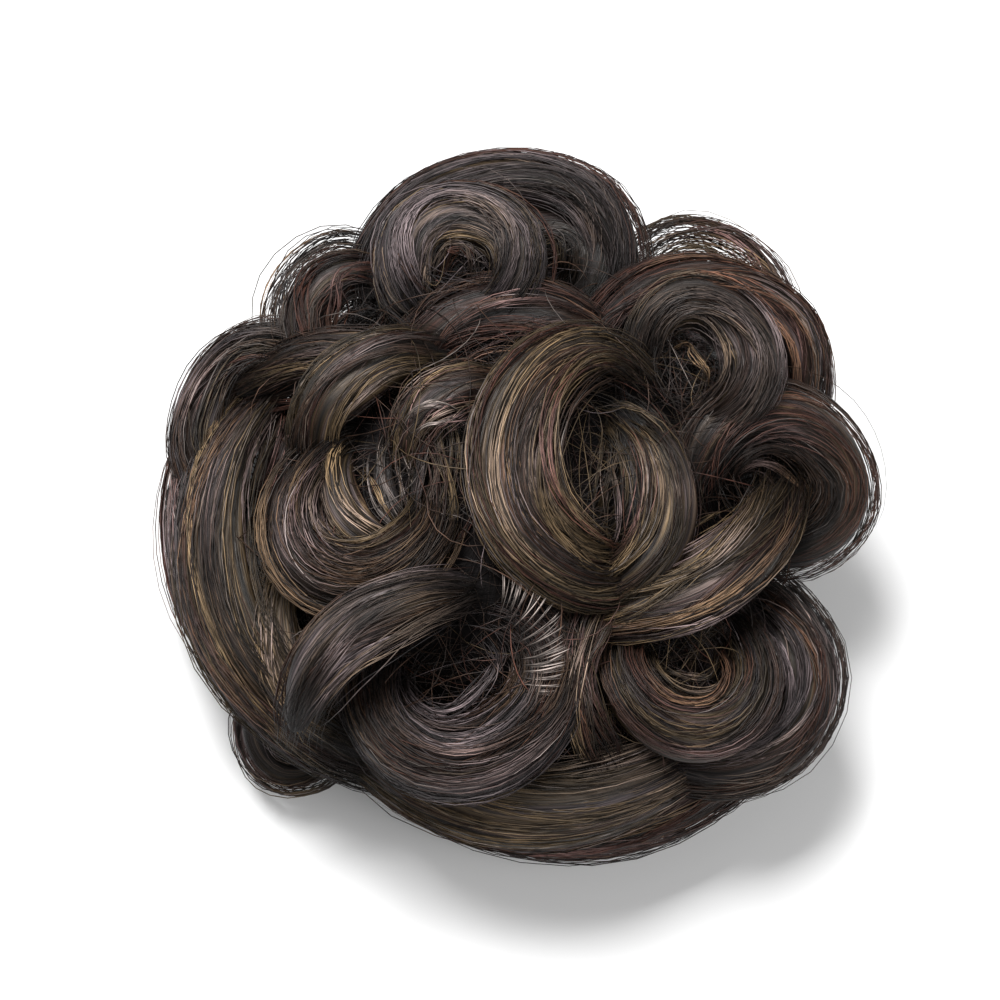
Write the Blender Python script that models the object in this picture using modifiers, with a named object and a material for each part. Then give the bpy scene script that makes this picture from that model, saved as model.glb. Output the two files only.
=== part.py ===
"""Top knot hairpiece: curled locks of hair sewn round an elastic band, as one messy bun.

Metres, +Z up. The bun rests on its stitched weft ring, with its origin at the middle of its base.
"""

import math
from collections import namedtuple

import bmesh
import bpy
import numpy as np
from mathutils import Matrix, Vector

MM = 0.001
GAP = 0.3 * MM  # clearance between pieces that touch
LOCK_GAP = 0.4 * MM  # clearance round a lock, whose section is faceted

# Elastic band, relaxed
BAND_RADIUS = 27.0 * MM
BAND_THICKNESS = 5.0 * MM
BAND_HEIGHT = 4.6 * MM

# Weft ring: the stitched strip that holds the roots of the hair round the band
WEFT_OUTER = 44.0 * MM
WEFT_INNER = 28.0 * MM
WEFT_HEIGHT = 10.0 * MM
WEFT_EDGE = 2.0 * MM

# Core: the combed-back hair under the curls, hollow for the wearer's own knot
HOLLOW_RADIUS = 25.0 * MM
HOLLOW_HEIGHT = 38.0 * MM
CORE_BASE_RADIUS = 43.0 * MM
CORE_WIDEST_RADIUS = 50.0 * MM
CORE_WIDEST_HEIGHT = 24.0 * MM
CORE_TOP = 53.0 * MM

# Every lock is a flat oval section swept along an arc
SECTION_SIDES = 8
SECTION_STEP = 7.2 * MM  # about one section each, along the arc
TIP_SHARE = 0.5  # size of a lock's ends beside its middle
SINK_SHARE = 0.32  # share of the length over which an end dips

# Rows are in millimetres and degrees. x, y, z is the middle of the arc, and its plane tilts by
# "tilt" from level, towards "facing". rx and ry are the arc's radii, "start" and "sweep" its angles,
# "grow" how much it opens on the way, and "roll" turns the outer edge of the section down. The dips
# say how far each end goes under its neighbours. Higher locks come first: each one is cut to clear
# those above it.
Lock = namedtuple(
    "Lock",
    "name x y z facing tilt rx ry start sweep grow width depth roll dip_start dip_end",
)
CROWN_LOCKS = (
    #    name                    x      y     z  facing tilt   rx    ry  start sweep  grow width depth roll  dips
    Lock("crown_curl",        14.0,   4.0,  57,    0,   4,  18.5, 22.5,   62,  240,  0.00,  17,  14,  18,  6,  8),
    Lock("crown_stem",        11.5,  -1.0,  55,  -20,   8,  19.5, 21.0,   62, -150,  0.10,  12,  12,  12,  9,  6),
    Lock("centre_lock",       19.0,  17.0,  51,  -60,   4,  40.0, 40.0,  -22,  -86,  0.00,  15,  12,  10,  7,  7),
    Lock("right_curl",        52.0,   4.0,  42,    0,  22,  16.5, 13.5,  205, -300,  0.00,  16,  13,  15,  7,  7),
    Lock("right_upper_curl",  40.0,  27.0,  44,   32,  18,  23.0, 19.5,  162, -175,  0.00,  14,  12,  30,  6,  9),
    Lock("right_upper_eye",   36.0,  26.5,  50,   32,  12,  12.5, 13.0,  168, -265,  0.00,  13,  12,  12,  6,  9),
    Lock("right_lower_curl",  37.5, -33.5,  38,  -42,  24,  22.0, 21.5,   55, -178,  0.00,  16,  13,  32,  7,  9),
    Lock("right_lower_eye",   35.5, -34.0,  44,  -42,  16,  14.0, 13.0,  140,  265,  0.00,  14,  12,   8,  7,  7),
    Lock("front_curl",       -11.0, -38.0,  46,  -95,  16,  18.0, 15.5,   78, -288,  0.00,  18,  14,  18,  6,  7),
    Lock("front_cover",       -5.5, -60.0,  52,  -95,  12,  38.5, 40.0,   95,   70,  0.00,  13,  11,   0,  7,  8),
    Lock("middle_lock",       -3.5,   1.5,  52,  160,   6,  20.0, 20.0,  178, -100,  0.00,  12,  11,  10,  7,  6),
    Lock("left_curl",        -30.5,  -3.5,  53,  180,  12,  14.0, 15.5,  118,  262,  0.00,  15,  13,  15,  5,  8),
    Lock("left_eye",         -20.5,   4.5,  53,  180,   6,  15.0, 18.0,  160,  100,  0.00,  10,  10,   0,  6,  6),
    Lock("upper_left_lock",  -17.0,   6.0,  54,  150,  10,  26.0, 24.0,   84,   94,  0.00,  13,  11,  10,  6,  7),
    Lock("brow_lock",        -34.0, -27.0,  48,   95,   6,  57.0, 57.0,  114,  -60,  0.00,  14,  11,   0,  8,  7),
    Lock("back_cover",         0.0,  11.0,  48,   90,   8,  29.5, 29.5,  150, -112,  0.00,  15,  11,   8,  6,  6),
    Lock("back_curl",         -4.0,  49.5,  42,   95,  24,  26.5, 24.0,  184, -196,  0.00,  17,  13,  28,  6, 10),
    Lock("back_eye",         -12.0,  50.0,  46,   95,  20,  13.0, 12.0,  225, -300,  0.00,  15,  13,  10,  6,  8),
    Lock("left_tip_lock",    -17.5, -23.0,  46,  200,  14,  33.5, 33.0,  158,   72,  0.00,  12,  10,  10,  6,  6),
    Lock("left_sweep",        -9.0,  -3.0,  38,  180,   4,  53.0, 53.0,  134,  114,  0.00,  21,  11,  44,  8,  8),
    Lock("front_sweep_high",   5.0, -11.0,  35,  -90,   3,  50.5, 50.5,  208,  112,  0.00,  18,  11,  42,  8,  8),
    Lock("left_upper_curl",  -51.0,  16.5,  36,  165,  26,  17.5, 19.0,   48,  195,  0.00,  15,  12,  30,  6,  8),
    Lock("front_sweep_mid",    8.6,  -6.0,  24,  -90,   2,  57.0, 57.0,  217,  111,  0.00,  18,  12,  64,  8,  8),
    Lock("front_sweep_low",    7.0,  -4.5,  12,  -90,   0,  54.0, 54.0,  224,   92,  0.00,  14,  12,  85,  7,  7),
    Lock("left_sweep_low",   -11.0,   2.0,  22,  180,   2,  57.0, 57.0,  146,   84,  0.00,  18,  12,  66,  8,  8),
    Lock("back_left_curl",   -33.0,  39.0,  38,  130,  20,  11.5, 13.0,   40,  200,  0.00,  13,  12,  20,  6,  7),
    Lock("left_back_lock",   -33.5,  44.0,  28,  130,  24,  17.0, 19.5,   60,  165,  0.00,  11,  12,  35,  7,  8),
    Lock("back_right_curl",   38.0,  46.0,  27,   50,  20,  17.0, 18.5,  155, -205,  0.00,  14,  13,  28,  7,  8),
    Lock("left_front_curl",  -45.5, -42.0,  16,  222,  40,  10.0, 10.0,   60,  265,  0.00,   9,   9,   0,  5,  5),
)

# Under the crown, rings of hair face outwards all the way round the base
SKIRT_COUNT = 9
SKIRT_DISTANCE = 52.0
SKIRT_RADIUS = 10.5
SKIRT_HEIGHT = 20.5
SKIRT_TILT = 72.0
SKIRT_FIRST_FACING = 8.0

HAIR_LIGHT = (0.052, 0.036, 0.026)
HAIR_DARK = (0.016, 0.011, 0.010)
THREAD_BLACK = (0.010, 0.009, 0.009)
ELASTIC_BLACK = (0.014, 0.013, 0.014)


def skirt_locks():
    """The rings round the base: every other one is larger, wound the other way."""
    rows = []
    for index in range(SKIRT_COUNT):
        facing = SKIRT_FIRST_FACING + 360.0 * index / SKIRT_COUNT
        odd = index % 2
        size = SKIRT_RADIUS * (1.0 if odd else 1.1)
        rows.append(
            Lock(
                name=f"skirt_curl_{index + 1:02d}",
                x=SKIRT_DISTANCE * math.cos(math.radians(facing)),
                y=SKIRT_DISTANCE * math.sin(math.radians(facing)),
                z=SKIRT_HEIGHT + 1.5 * odd,
                facing=facing,
                tilt=SKIRT_TILT,
                rx=size,
                ry=size,
                start=facing + (200 if odd else -20),
                sweep=300 if odd else -300,
                grow=0.0,
                width=13,
                depth=14,
                roll=14,
                dip_start=6,
                dip_end=6,
            )
        )
    return rows


def ease(share):
    """0 to 1, with a level start and end."""
    share = np.clip(share, 0.0, 1.0)
    return share * share * (3.0 - 2.0 * share)


def unit(vectors):
    return vectors / np.linalg.norm(vectors, axis=1, keepdims=True)


def lock_rings(row, grown=0.0):
    """The sections of a lock, as an array [section, corner, xyz], in the plane of its own arc."""
    length = math.radians(abs(row.sweep)) * (row.rx + row.ry) / 2 * MM
    share = np.linspace(0.0, 1.0, max(8, round(length / SECTION_STEP)))
    angle = np.radians(row.start + row.sweep * share)
    size = (1.0 + row.grow * (share - 0.5)) * MM
    dip = row.dip_start * ease(1 - share / SINK_SHARE) + row.dip_end * ease(1 - (1 - share) / SINK_SHARE)
    path = np.stack([row.rx * size * np.cos(angle), row.ry * size * np.sin(angle), -dip * MM], axis=1)
    along = unit(np.gradient(path, axis=0))
    path[0] -= along[0] * grown
    path[-1] += along[-1] * grown
    outward = np.stack([np.cos(angle), np.sin(angle), np.zeros_like(angle)], axis=1)
    outward = unit(outward - along * np.sum(outward * along, axis=1, keepdims=True))
    upward = np.cross(outward, along) * math.copysign(1.0, row.sweep)
    roll = math.radians(row.roll)
    side = outward * math.cos(roll) - upward * math.sin(roll)
    top = upward * math.cos(roll) + outward * math.sin(roll)
    fullness = TIP_SHARE + (1 - TIP_SHARE) * np.sin(math.pi * share) ** 0.6
    half_width = (row.width / 2 * MM * fullness + grown)[:, None, None]
    half_depth = (row.depth / 2 * MM * fullness + grown)[:, None, None]
    corner = np.linspace(0.0, 2 * math.pi, SECTION_SIDES, endpoint=False)[None, :, None]
    return (
        path[:, None, :]
        + side[:, None, :] * half_width * np.cos(corner)
        + top[:, None, :] * half_depth * np.sin(corner)
    )


def lock_place(row):
    """The matrix that carries a lock's own plane to its place on the bun."""
    facing = math.radians(row.facing)
    lean = Matrix.Rotation(math.radians(row.tilt), 4, Vector((-math.sin(facing), math.cos(facing), 0.0)))
    return Matrix.Translation(Vector((row.x, row.y, row.z)) * MM) @ lean


def face_outwards(bm):
    bmesh.ops.recalc_face_normals(bm, faces=bm.faces)
    if bm.calc_volume(signed=True) < 0:
        bmesh.ops.reverse_faces(bm, faces=bm.faces)


def loft_mesh(name, rings):
    """One closed skin through the rings, with a flat cap at each end."""
    bm = bmesh.new()
    rows = [[bm.verts.new(point) for point in ring] for ring in rings]
    for here, there in zip(rows, rows[1:]):
        for i in range(len(here)):
            j = (i + 1) % len(here)
            bm.faces.new((here[i], here[j], there[j], there[i]))
    bm.faces.new(rows[0])
    bm.faces.new(rows[-1])
    face_outwards(bm)
    mesh = bpy.data.meshes.new(name)
    bm.to_mesh(mesh)
    bm.free()
    return mesh


def material(name, colour, roughness):
    made = bpy.data.materials.new(name)
    made.use_nodes = True
    surface = made.node_tree.nodes["Principled BSDF"]
    surface.inputs["Base Color"].default_value = (*colour, 1.0)
    surface.inputs["Roughness"].default_value = roughness
    surface.inputs["Metallic"].default_value = 0.0
    return made


def collection(name):
    made = bpy.data.collections.new(name)
    bpy.context.scene.collection.children.link(made)
    return made


def add_object(name, mesh, where, matrix=None, finish=None):
    made = bpy.data.objects.new(name, mesh)
    where.objects.link(made)
    made.matrix_world = matrix or Matrix.Identity(4)
    if finish:
        mesh.materials.append(finish)
    return made


def hide_helper(helper):
    helper.hide_render = True
    helper.display_type = "WIRE"


def turned(name, profile, where, finish=None, steps=24):
    """A ring or dome of revolution. The profile's points are (radius, height), outer side first and downwards."""
    mesh = bpy.data.meshes.new(name)
    count = len(profile)
    closed = profile[0][0] > 0 and profile[-1][0] > 0
    edges = [(i, (i + 1) % count) for i in range(count if closed else count - 1)]
    mesh.from_pydata([(radius, 0.0, height) for radius, height in profile], edges, [])
    made = add_object(name, mesh, where, finish=finish)
    spin = made.modifiers.new("Turn", "SCREW")
    spin.steps = spin.render_steps = steps
    spin.use_merge_vertices = True
    spin.merge_threshold = 0.00001
    spin.use_smooth_shade = True
    return made


def core_profile(grown=0.0):
    """The outer side of the core, from its top down to its base: two quarter ellipses."""
    points = []
    for step in range(8):
        turn = math.radians(90.0 * step / 7)
        points.append(
            (
                (CORE_WIDEST_RADIUS + grown) * math.sin(turn),
                CORE_WIDEST_HEIGHT + (CORE_TOP + grown - CORE_WIDEST_HEIGHT) * math.cos(turn),
            )
        )
    base = WEFT_HEIGHT + GAP
    for step in range(1, 5):
        turn = math.radians(90.0 * step / 4)
        points.append(
            (
                CORE_BASE_RADIUS + grown + (CORE_WIDEST_RADIUS - CORE_BASE_RADIUS) * math.cos(turn),
                CORE_WIDEST_HEIGHT - (CORE_WIDEST_HEIGHT - base + grown) * math.sin(turn),
            )
        )
    return points


def hollow_profile():
    """The wall of the hollow, from its mouth up to its top."""
    points = [(HOLLOW_RADIUS, WEFT_HEIGHT + GAP)]
    spring = HOLLOW_HEIGHT - HOLLOW_RADIUS * 0.6
    for step in range(6):
        turn = math.radians(90.0 * step / 5)
        points.append((HOLLOW_RADIUS * math.cos(turn), spring + (HOLLOW_HEIGHT - spring) * math.sin(turn)))
    return points


def weft_profile(grown=0.0):
    """A flat ring with rounded edges, and a round channel for the band in its inner side."""
    outer, inner, top, edge = WEFT_OUTER + grown, WEFT_INNER, WEFT_HEIGHT + grown, WEFT_EDGE
    points = [(inner + edge, top), (outer - edge, top), (outer, top - edge), (outer, edge), (outer - edge, 0.0)]
    points += [(inner + edge, 0.0), (inner, edge * 0.5)]
    channel = BAND_THICKNESS / 2 + GAP
    for step in range(5):
        turn = math.radians(-60.0 + 120.0 * step / 4)
        points.append((BAND_RADIUS + channel * math.cos(turn), BAND_HEIGHT + channel * math.sin(turn)))
    points.append((inner, top - edge * 0.5))
    return points


def held_volume(vertices):
    """The volume inside the skin that these vertices carry."""
    faces = {face for vertex in vertices for face in vertex.link_faces}
    total = 0.0
    for face in faces:
        first, *others = (vertex.co for vertex in face.verts)
        total += sum(first.dot(here.cross(there)) for here, there in zip(others, others[1:])) / 6
    return abs(total)


def largest_piece(mesh):
    """Keeps the largest connected piece: what a cut parts from a lock's end is hidden hair."""
    bm = bmesh.new()
    bm.from_mesh(mesh)
    unseen = set(bm.verts)
    groups = []
    while unseen:
        group, front = set(), [unseen.pop()]
        while front:
            vertex = front.pop()
            group.add(vertex)
            for edge in vertex.link_edges:
                other = edge.other_vert(vertex)
                if other in unseen:
                    unseen.discard(other)
                    front.append(other)
        groups.append(group)
    groups.sort(key=held_volume, reverse=True)
    for group in groups[1:]:
        bmesh.ops.delete(bm, geom=list(group), context="VERTS")
    face_outwards(bm)
    bm.to_mesh(mesh)
    bm.free()


def boxes_meet(first, second):
    low_a, high_a = first
    low_b, high_b = second
    return bool(np.all(low_a < high_b) and np.all(low_b < high_a))


def world_box(rings, matrix):
    rotation = np.array(matrix.to_3x3())
    points = rings.reshape(-1, 3) @ rotation.T + np.array(matrix.translation)
    return points.min(axis=0), points.max(axis=0)


def add_lock(row, pieces, helpers, finish, above):
    """Lofts a lock, cuts it clear of the core and of the locks above it, and adds its own cutter."""
    matrix = lock_place(row)
    rings = lock_rings(row)
    made = add_object(row.name, loft_mesh(row.name, rings), pieces, matrix)
    own_box = world_box(rings, matrix)
    for cutter, box in above:
        if boxes_meet(own_box, box):
            cut = made.modifiers.new("Clear " + cutter.name, "BOOLEAN")
            cut.operation = "DIFFERENCE"
            cut.object = cutter
    bpy.context.view_layer.update()
    evaluated = made.evaluated_get(bpy.context.evaluated_depsgraph_get())
    mesh = bpy.data.meshes.new_from_object(evaluated)
    made.modifiers.clear()
    made.data = mesh
    mesh.name = row.name
    largest_piece(mesh)
    mesh.materials.clear()
    mesh.materials.append(finish)
    mesh.shade_smooth()
    mesh.set_sharp_from_angle(angle=math.radians(50))
    grown = lock_rings(row, LOCK_GAP)
    cutter = add_object(row.name + "_cutter", loft_mesh(row.name + "_cutter", grown), helpers, matrix)
    hide_helper(cutter)
    above.append((cutter, world_box(grown, matrix)))
    return made


def band_profile():
    """The round section of the band."""
    turns = [math.radians(-45.0 * step) for step in range(8)]
    radius = BAND_THICKNESS / 2
    return [(BAND_RADIUS + radius * math.cos(turn), BAND_HEIGHT + radius * math.sin(turn)) for turn in turns]


def main():
    for old in list(bpy.data.objects):
        bpy.data.objects.remove(old)
    pieces = collection("top_knot_hairpiece")
    helpers = collection("cutters")
    hair = material("hair_brown", HAIR_LIGHT, 0.42)
    dark_hair = material("hair_under", HAIR_DARK, 0.55)
    thread = material("weft_thread", THREAD_BLACK, 0.8)
    elastic = material("elastic", ELASTIC_BLACK, 0.7)

    ring_pieces = [
        turned("elastic_band", band_profile(), pieces, elastic),
        turned("weft_ring", weft_profile(), pieces, thread),
        turned("hair_core", core_profile() + hollow_profile(), pieces, dark_hair),
    ]
    core_cutter = turned("core_cutter", [*core_profile(GAP), (0.0, core_profile(GAP)[-1][1])], helpers)
    weft_cutter = turned("weft_cutter", weft_profile(GAP), helpers)
    everywhere = (np.full(3, -1.0), np.full(3, 1.0))
    above = []
    for helper in (core_cutter, weft_cutter):
        hide_helper(helper)
        above.append((helper, everywhere))
    locks = [add_lock(row, pieces, helpers, hair, above) for row in (*CROWN_LOCKS, *skirt_locks())]

    # The locks reach furthest on every side, so their box is the box of the whole bun
    bpy.context.view_layer.update()
    points = [lock.matrix_world @ vertex.co for lock in locks for vertex in lock.data.vertices]
    middle = (np.min(points, axis=0) + np.max(points, axis=0)) / 2
    bun = bpy.data.objects.new("bun", None)
    pieces.objects.link(bun)
    for piece in (*ring_pieces, *locks):
        piece.parent = bun
    bun.location = (-middle[0], -middle[1], 0.0)


main()
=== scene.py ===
"""Top knot hairpiece: curled locks of hair sewn round an elastic band, hair by hair.

Metres, +Z up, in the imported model's frame. Every lock is a bundle of fine hairs carried along an arc, over
a body of hair that fills it. The file is laid out as an add-on and run as a script.
"""

import math
from collections import namedtuple

import bpy
import numpy as np
from bpy.props import FloatProperty, FloatVectorProperty, IntProperty, PointerProperty
from mathutils import Matrix, Vector


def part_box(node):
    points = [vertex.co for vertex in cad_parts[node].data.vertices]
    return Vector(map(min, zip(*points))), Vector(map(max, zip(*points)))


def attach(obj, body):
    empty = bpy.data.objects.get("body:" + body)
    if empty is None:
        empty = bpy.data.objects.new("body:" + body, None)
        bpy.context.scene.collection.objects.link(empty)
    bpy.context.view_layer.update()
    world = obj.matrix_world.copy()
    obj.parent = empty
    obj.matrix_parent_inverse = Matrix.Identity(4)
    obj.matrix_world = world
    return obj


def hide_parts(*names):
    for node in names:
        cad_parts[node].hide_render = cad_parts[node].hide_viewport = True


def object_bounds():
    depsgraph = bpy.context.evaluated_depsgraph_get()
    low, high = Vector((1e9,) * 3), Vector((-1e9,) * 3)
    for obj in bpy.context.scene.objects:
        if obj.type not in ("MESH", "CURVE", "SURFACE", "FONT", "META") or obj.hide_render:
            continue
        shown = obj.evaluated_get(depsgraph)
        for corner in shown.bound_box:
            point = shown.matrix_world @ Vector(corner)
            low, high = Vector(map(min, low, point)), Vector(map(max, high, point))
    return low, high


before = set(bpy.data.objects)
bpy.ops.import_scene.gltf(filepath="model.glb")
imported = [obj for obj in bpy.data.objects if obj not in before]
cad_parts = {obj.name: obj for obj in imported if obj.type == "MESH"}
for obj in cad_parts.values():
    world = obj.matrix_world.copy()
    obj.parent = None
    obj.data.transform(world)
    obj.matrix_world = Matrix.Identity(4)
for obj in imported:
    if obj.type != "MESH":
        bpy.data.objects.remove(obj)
CAD_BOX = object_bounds()

bl_info = {
    "name": "Top knot hairpiece",
    "version": (1, 0, 0),
    "blender": (4, 5, 0),
    "location": "3D View > Sidebar > Hairpiece",
    "description": "Adds a messy curled top knot hairpiece, hair by hair, and a plain studio for it",
    "category": "Add Mesh",
}

MM = 0.001

# The middle of the elastic band is the middle that all rows and radii below are measured from
BAND_LOW, BAND_HIGH = (np.array(corner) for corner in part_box("elastic_band"))
BUN_MIDDLE = np.array([(BAND_LOW[0] + BAND_HIGH[0]) / 2, (BAND_LOW[1] + BAND_HIGH[1]) / 2, 0.0])
WEFT_LOW, WEFT_HIGH = (np.array(corner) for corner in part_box("weft_ring"))

# Rows are in millimetres and degrees. x, y, z is the middle of the arc, and its plane tilts by "tilt" from
# level, towards "facing". rx and ry are the arc's radii, "start" and "sweep" its angles, "grow" how much it
# opens on its way, and "roll" turns the outer edge of the section down. The dips say how far each end goes
# under its neighbours.
ARC_COLUMNS = "name x y z facing tilt rx ry start sweep grow width depth roll dip_start dip_end"

# "hairs" is the number of hairs, "loose" how far they stray from the section, "fill" the size of the body
# of hair inside them, 0 where one sees through, "tone" the leading colour, "light" how light it is, and
# "shine" the share of the length at which a painted highlight, a lighter band, lies in its colour
HAIR_COLUMNS = "hairs loose fill tone light shine"
Lock = namedtuple("Lock", f"{ARC_COLUMNS} {HAIR_COLUMNS}")
HAIR = {
    "crown_curl": (320, 0.10, 0.93, "olive", 1.05, 0.50),
    "crown_stem": (190, 0.16, 0.90, "olive", 0.90, 0.45),
    "centre_lock": (220, 0.12, 0.92, "olive", 1.10, 0.45),
    "middle_lock": (130, 0.20, 0.86, "red", 0.90, 0.50),
    "right_curl": (260, 0.20, 0.84, "brown", 0.85, 0.32),
    "right_upper_curl": (240, 0.12, 0.93, "red", 1.05, 0.76),
    "right_upper_eye": (200, 0.16, 0.90, "ash", 0.95, 0.56),
    "right_lower_curl": (240, 0.12, 0.93, "mauve", 0.66, 0.30),
    "right_lower_eye": (210, 0.14, 0.90, "olive", 0.62, 0.50),
    "front_curl": (320, 0.12, 0.93, "mauve", 0.85, 0.58),
    "front_cover": (190, 0.12, 0.92, "mauve", 0.95, 0.62),
    "left_curl": (240, 0.16, 0.90, "brown", 0.90, 0.28),
    "left_eye": (130, 0.14, 0.84, "olive", 1.20, 0.50),
    "upper_left_lock": (180, 0.16, 0.90, "olive", 1.00, 0.45),
    "brow_lock": (170, 0.16, 0.90, "brown", 0.90, 0.42),
    "left_tip_lock": (140, 0.16, 0.88, "olive", 1.20, 0.50),
    "back_cover": (220, 0.20, 0.90, "red", 0.90, 0.50),
    "back_curl": (300, 0.10, 0.94, "mauve", 0.72, 0.46),
    "back_eye": (250, 0.18, 0.92, "mauve", 0.95, 0.26),
    "back_left_curl": (150, 0.24, 0.78, "ash", 0.90, 0.40),
    "left_back_lock": (90, 0.34, 0.00, "ash", 0.85, 0.50),
    "back_right_curl": (160, 0.30, 0.00, "brown", 0.90, 0.50),
    "left_sweep": (330, 0.12, 0.93, "olive", 0.72, 0.36),
    "front_sweep_high": (300, 0.12, 0.93, "olive", 0.78, 0.74),
    "left_upper_curl": (240, 0.18, 0.90, "brown", 0.95, 0.50),
    "front_sweep_mid": (300, 0.12, 0.93, "red", 0.90, 0.60),
    "front_sweep_low": (150, 0.16, 0.93, "brown", 0.80, 0.50),
    "left_sweep_low": (270, 0.28, 0.55, "red", 0.90, 0.45),
    "left_front_curl": (100, 0.26, 0.70, "ash", 0.75, 0.50),
    "crown_eye": (90, 0.24, 0.80, "olive", 0.50, 0.50),
    "middle_side": (170, 0.24, 0.00, "olive", 0.62, 0.50),
    "front_middle": (170, 0.20, 0.00, "olive", 0.70, 0.50),
    "back_fill": (80, 0.20, 0.95, "brown", 0.40, 0.50),
    "back_side_fill": (110, 0.20, 0.95, "brown", 0.40, 0.50),
    "right_fill": (80, 0.24, 0.95, "brown", 0.45, 0.50),
    "left_pale": (60, 0.16, 0.60, "pale", 0.50, 0.50),
    "middle_glint": (22, 0.16, 0.00, "pale", 0.55, 0.50),
}


def locks(*arcs):
    """Joins each arc to the row of its hair."""
    return tuple(Lock(*arc, *HAIR[arc[0]]) for arc in arcs)


CROWN_LOCKS = locks(
    ("crown_curl",          15,     4, 57,   0,  4, 17.8, 22.5,  62,  240,   0, 16, 14, 18, 6,  8),
    ("crown_stem",        11.5,    -1, 55, -20,  8, 19.5,   21,  62, -150, 0.1, 12, 12, 12, 9,  6),
    ("centre_lock",         19,    17, 51, -60,  4,   40,   40, -22,  -86,   0, 15, 12, 10, 7,  7),
    ("middle_lock",       -3.5,   1.5, 52, 160,  6,   20,   20, 178, -100,   0, 12, 11, 10, 7,  6),
)
RIGHT_CURLS = locks(
    ("right_curl",          52,     4, 42,   0, 22, 16.5, 13.5, 205, -300,   0, 16, 13, 15, 7,  7),
    ("right_upper_curl",    40,    27, 44,  32, 18,   23, 19.5, 162, -175,   0, 14, 12, 30, 6,  9),
    ("right_upper_eye",     36,  26.5, 50,  32, 12, 12.5,   13, 168, -265,   0, 13, 12, 12, 6,  9),
    ("right_lower_curl",  37.5, -33.5, 38, -42, 24,   22, 21.5,  55, -178,   0, 16, 13, 32, 7,  9),
    ("right_lower_eye",   35.5,   -34, 44, -42, 16,   14,   13, 140,  265,   0, 14, 12,  8, 7,  7),
)
FRONT_CURLS = locks(
    ("front_curl",         -11,   -38, 46, -95, 16,   18, 15.5,  78, -288,   0, 18, 14, 18, 6,  7),
    ("front_cover",       -5.5,   -60, 52, -95, 12, 38.5,   40,  95,   70,   0, 13, 11,  0, 7,  8),
)
LEFT_CURLS = locks(
    ("left_curl",        -30.5,  -3.5, 53, 180, 12,   14, 15.5, 118,  262,   0, 15, 13, 15, 5,  8),
    ("left_eye",         -20.5,   4.5, 53, 180,  6,   15,   18, 160,  100,   0, 10, 10,  0, 6,  6),
    ("upper_left_lock",    -17,     6, 54, 150, 10,   26,   24,  84,   94,   0, 13, 11, 10, 6,  7),
    ("brow_lock",          -34,   -27, 48,  95,  6,   57,   57, 114,  -60,   0, 14, 11,  0, 8,  7),
    ("left_tip_lock",    -17.5,   -23, 46, 200, 14, 33.5,   33, 158,   72,   0, 12, 10, 10, 6,  6),
)
BACK_CURLS = locks(
    ("back_cover",           0,    11, 48,  90,  8, 29.5, 29.5, 150, -112,   0, 15, 11,  8, 6,  6),
    ("back_curl",           -4,  49.5, 42,  95, 24, 26.5,   24, 184, -196,   0, 17, 13, 28, 6, 10),
    ("back_eye",           -12,    50, 46,  95, 20,   13,   12, 225, -300,   0, 15, 13, 10, 6,  8),
    ("back_left_curl",     -33,    39, 38, 130, 20, 11.5,   13,  40,  200,   0, 13, 12, 20, 6,  7),
    ("left_back_lock",   -33.5,    44, 28, 130, 24,   17, 19.5,  60,  165,   0, 11, 12, 35, 7,  8),
    ("back_right_curl",     38,    46, 27,  50, 20,   17, 18.5, 155, -205,   0, 14, 13, 28, 7,  8),
)
SWEEPS = locks(
    ("left_sweep",          -9,    -3, 38, 180,  4,   53,   53, 134,  114,   0, 21, 11, 44, 8,  8),
    ("front_sweep_high",     5,   -11, 35, -90,  3, 50.5, 50.5, 208,  112,   0, 18, 11, 42, 8,  8),
    ("left_upper_curl",    -51,  16.5, 36, 165, 26, 17.5,   19,  48,  195,   0, 15, 12, 30, 6,  8),
    ("front_sweep_mid",    8.6,    -6, 24, -90,  2,   57,   57, 217,  111,   0, 18, 12, 64, 8,  8),
    ("front_sweep_low",      7,  -4.5, 12, -90,  0,   54,   54, 224,   92,   0, 14, 12, 85, 7,  7),
    ("left_sweep_low",     -11,     2, 22, 180,  2,   57,   57, 146,   84,   0, 18, 12, 66, 8,  8),
    ("left_front_curl",  -45.5,   -42, 16, 222, 40,   10,   10,  60,  265,   0,  9,  9,  0, 5,  5),
)
# Loose tresses over the core and under the eyes of the rings
LOOSE_TRESSES = locks(
    ("crown_eye",           16,     3, 52,   0,  0,   10,   14,  80, -170,   0, 13,  7,  5, 3,  3),
    ("middle_side",        -44,     0, 51, 180,  2,   31,   31,  40,  -80,   0, 14,  7,  0, 4,  4),
    ("front_middle",        42,   -37, 47, -90, 12,   30,   30, 142,   74,   0, 14,  8,  0, 4,  5),
    ("back_fill",          -10,    49, 36,  95, 20,    7,    6, 225, -330,   0, 13, 10, 10, 3,  4),
    ("back_side_fill",       6,  52.5, 36,  95, 20,   11,    8, 225, -300,   0, 15, 12, 10, 3,  4),
    ("right_fill",          50,     2, 33,   0, 22,    9,    7, 205, -320,   0, 14, 10, 15, 3,  4),
    # left_pale and middle_glint are pale tufts: painted highlights
    ("left_pale",        -12.5,   6.5, 52, 180,  6,   15,   18, 163,   80,   0,  7,  6,  0, 4,  4),
    ("middle_glint",     -12.3,     1, 57,   0,  0,   14,   14, 132,  -44,   0,  5,  3,  0, 2,  2),
)
# Short pale hairs across the inner side of the front curl: a painted highlight
PALE_COMB = Lock(
    "pale_comb", -12, -36.5, 52.3, -95, 12, 17, 17.5, 64, -84, 0, 9, 4, 0, 1, 1, 90, 0, 0, "pale", 0.9, 0.5
)

# Under the crown, rings of hair face outwards all the way round the base
SKIRT_COUNT = 9
SKIRT_DISTANCE = 52.0
SKIRT_RADIUS = 10.5
SKIRT_HEIGHT = 20.5
SKIRT_TILT = 72.0
SKIRT_FIRST_FACING = 8.0

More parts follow.
